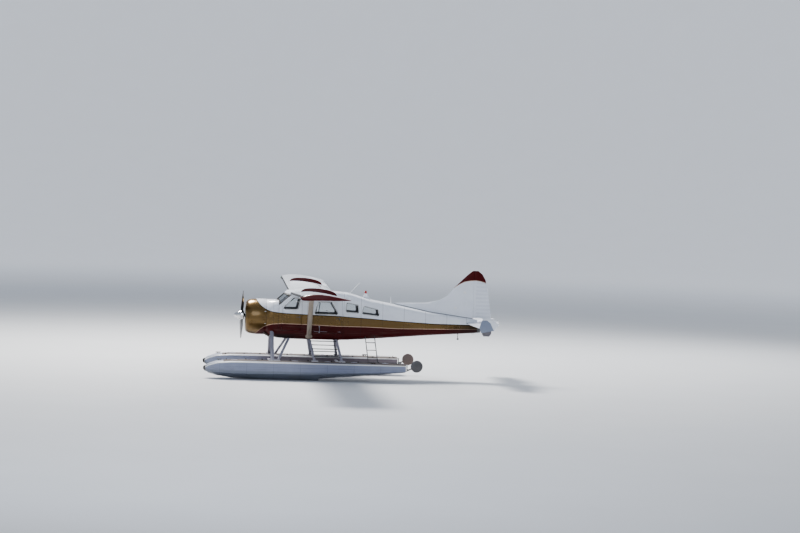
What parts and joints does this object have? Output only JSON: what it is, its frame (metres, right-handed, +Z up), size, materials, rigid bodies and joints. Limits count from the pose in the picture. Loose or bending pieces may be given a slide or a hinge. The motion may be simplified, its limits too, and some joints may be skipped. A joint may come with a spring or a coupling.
{
  "type": "floatplane",
  "caption": "High-wing, single-engine bush aircraft on twin floats, with a hollow cabin, hinged doors, turning propeller, moving control surfaces and water rudders.",
  "frame": {"origin": "on the floor under the middle of the overall length and span, with both keels at z = 0", "axes": "+X to the aircraft's left along the wing, +Y aft along the fuselage, +Z up"},
  "size_m": [14.6384, 10.1018, 3.802],
  "materials": {
    "white_paint": "gloss",
    "gold_paint": "metallic gloss",
    "maroon_paint": "gloss",
    "float_paint": "satin",
    "strut_paint": "satin",
    "engine_metal": "cast and machined",
    "dark_metal": "dull",
    "blade_black": "satin",
    "rubber": "matt",
    "panel_black": "matt",
    "seat_leather": "worn",
    "window_glass": "clear"
  },
  "bodies": {
    "airframe": {"cowl_ring": "gold_paint", "engine": "engine_metal", "exhaust_pipe": "dark_metal", "nose_panel": "gold_paint", "cabin_floor": "maroon_paint", "cabin_side_left": "gold_paint", "cabin_side_right": "gold_paint", "cabin_roof": "white_paint", "windscreen_frame": "white_paint", "windscreen_glass_left": "window_glass", "windscreen_glass_right": "window_glass", "instrument_panel": "panel_black", "seat_left": "seat_leather", "seat_right": "seat_leather", "bench_seat": "seat_leather", "tail_cone": "gold_paint", "beacon": "white_paint", "aerial_whip": "white_paint", "aerial_mast": "white_paint", "window_third_left": "window_glass", "window_third_right": "window_glass", "window_fourth_left": "window_glass", "window_fourth_right": "window_glass", "rear_bulkhead": "strut_paint", "fin": "white_paint", "stabilizer": "white_paint", "wing_left": "white_paint", "wing_right": "white_paint", "wing_strut_left": "strut_paint", "wing_strut_right": "strut_paint", "float_left": "float_paint", "float_right": "float_paint", "bow_bumper_left": "rubber", "bow_bumper_right": "rubber", "front_strut_left": "strut_paint", "front_strut_right": "strut_paint", "ladder_strut_left": "strut_paint", "ladder_strut_right": "strut_paint", "aft_ladder": "dark_metal", "spreader_bar_front": "strut_paint", "spreader_bar_rear": "strut_paint"},
    "propeller_body": {"propeller": "blade_black"},
    "flap_left_body": {"flap_left": "white_paint"},
    "flap_right_body": {"flap_right": "white_paint"},
    "aileron_left_body": {"aileron_left": "white_paint"},
    "aileron_right_body": {"aileron_right": "white_paint"},
    "elevator_body": {"elevator": "white_paint"},
    "rudder_body": {"rudder": "white_paint"},
    "door_front_left_body": {"door_front_left": "gold_paint", "door_front_glass_left": "window_glass"},
    "door_front_right_body": {"door_front_right": "gold_paint", "door_front_glass_right": "window_glass"},
    "door_rear_left_body": {"door_rear_left": "gold_paint", "door_rear_glass_left": "window_glass"},
    "door_rear_right_body": {"door_rear_right": "gold_paint", "door_rear_glass_right": "window_glass"},
    "rudder_post_left_body": {"rudder_post_left": "dark_metal"},
    "rudder_post_right_body": {"rudder_post_right": "dark_metal"},
    "water_rudder_left_body": {"water_rudder_left": "dark_metal"},
    "water_rudder_right_body": {"water_rudder_right": "dark_metal"}
  },
  "joints": [
    {"name": "propeller_spin", "type": "hinge", "parent": "airframe", "child": "propeller_body", "pos_m": [0, -3.72, 2.05], "axis": [0, 1, 0], "continuous": true},
    {"name": "flap_left_drop", "type": "hinge", "parent": "airframe", "child": "flap_left_body", "pos_m": [0.62714, -0.9634, 2.84736], "axis": [-0.9994, 0, -0.0349], "range_deg": [0, 50]},
    {"name": "flap_right_drop", "type": "hinge", "parent": "airframe", "child": "flap_right_body", "pos_m": [-0.62714, -0.9634, 2.84736], "axis": [-0.9994, 0, 0.0349], "range_deg": [0, 50]},
    {"name": "aileron_left_turn", "type": "hinge", "parent": "airframe", "child": "aileron_left_body", "pos_m": [0.62714, -0.9634, 2.84736], "axis": [-0.9994, 0, -0.0349], "range_deg": [-20, 20]},
    {"name": "aileron_right_turn", "type": "hinge", "parent": "airframe", "child": "aileron_right_body", "pos_m": [-0.62714, -0.9634, 2.84736], "axis": [-0.9994, 0, 0.0349], "range_deg": [-20, 20]},
    {"name": "elevator_turn", "type": "hinge", "parent": "airframe", "child": "elevator_body", "pos_m": [0, 4.42, 1.975], "axis": [1, 0, 0], "range_deg": [-35, 13]},
    {"name": "rudder_turn", "type": "hinge", "parent": "airframe", "child": "rudder_body", "pos_m": [0, 4.23, 2.05], "axis": [0, 0, 1], "range_deg": [-25, 25]},
    {"name": "door_front_left_swing", "type": "hinge", "parent": "airframe", "child": "door_front_left_body", "pos_m": [0.636, -2.428, 2.05], "axis": [0, 0, -1], "range_deg": [0, 78]},
    {"name": "door_front_right_swing", "type": "hinge", "parent": "airframe", "child": "door_front_right_body", "pos_m": [-0.636, -2.428, 2.05], "axis": [0, 0, 1], "range_deg": [0, 78]},
    {"name": "door_rear_left_swing", "type": "hinge", "parent": "airframe", "child": "door_rear_left_body", "pos_m": [0.636, -1.363, 2.05], "axis": [0, 0, -1], "range_deg": [0, 75]},
    {"name": "door_rear_right_swing", "type": "hinge", "parent": "airframe", "child": "door_rear_right_body", "pos_m": [-0.636, -1.363, 2.05], "axis": [0, 0, 1], "range_deg": [0, 75]},
    {"name": "rudder_post_left_steer", "type": "hinge", "parent": "airframe", "child": "rudder_post_left_body", "pos_m": [1.45, 1.825, 0.477], "axis": [0, 0, 1], "range_deg": [-25, 25]},
    {"name": "rudder_post_right_steer", "type": "hinge", "parent": "airframe", "child": "rudder_post_right_body", "pos_m": [-1.45, 1.825, 0.477], "axis": [0, 0, 1], "range_deg": [-25, 25]},
    {"name": "water_rudder_left_lower", "type": "hinge", "parent": "rudder_post_left_body", "child": "water_rudder_left_body", "pos_m": [1.45, 1.877, 0.426], "axis": [-1, 0, 0], "range_deg": [0, 70]},
    {"name": "water_rudder_right_lower", "type": "hinge", "parent": "rudder_post_right_body", "child": "water_rudder_right_body", "pos_m": [-1.45, 1.877, 0.426], "axis": [-1, 0, 0], "range_deg": [0, 70]}
  ],
  "couplings": [
    {"joint": "flap_right_drop", "follows": "flap_left_drop", "ratio": 1},
    {"joint": "aileron_right_turn", "follows": "aileron_left_turn", "ratio": -1},
    {"joint": "rudder_post_left_steer", "follows": "rudder_turn", "ratio": 1},
    {"joint": "rudder_post_right_steer", "follows": "rudder_turn", "ratio": 1},
    {"joint": "water_rudder_right_lower", "follows": "water_rudder_left_lower", "ratio": 1}
  ]
}
